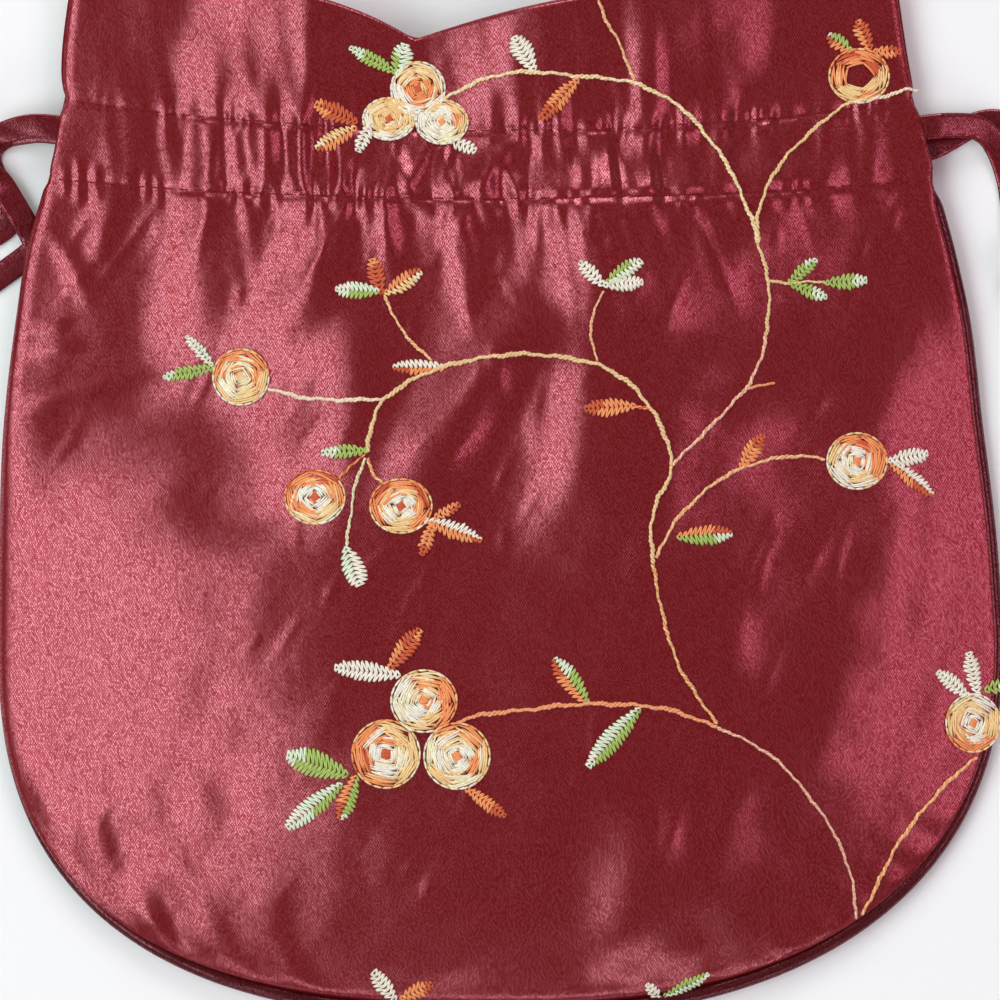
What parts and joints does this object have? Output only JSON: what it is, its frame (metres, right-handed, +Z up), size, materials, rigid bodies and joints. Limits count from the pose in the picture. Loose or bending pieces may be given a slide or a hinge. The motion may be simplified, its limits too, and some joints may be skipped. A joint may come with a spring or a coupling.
{
  "type": "embroidered drawstring pouch",
  "caption": "Flat round-bottomed satin pouch with a gathered drawstring channel, piped seam and knotted straps; holds small things and draws shut.",
  "frame": {"origin": "under the middle of the pouch without its straps, on the surface that it lies on", "axes": "+Y towards the mouth, +Z up out of the embroidered front, +X to the right seen from above"},
  "size_m": [0.2098, 0.1883, 0.0181],
  "materials": {
    "satin": "burgundy satin with a pink sheen",
    "satin_trim": "burgundy satin over cord",
    "satin_strap": "folded burgundy satin strap",
    "thread": "rayon embroidery thread in orange, cream and green",
    "sewing_thread": "burgundy sewing thread"
  },
  "bodies": {
    "root": {"front_panel": "satin", "back_panel": "satin", "piping": "satin_trim", "strap_front": "satin_strap", "strap_back": "satin_strap", "knot_left": "satin_strap", "knot_right": "satin_strap"}
  },
  "joints": []
}
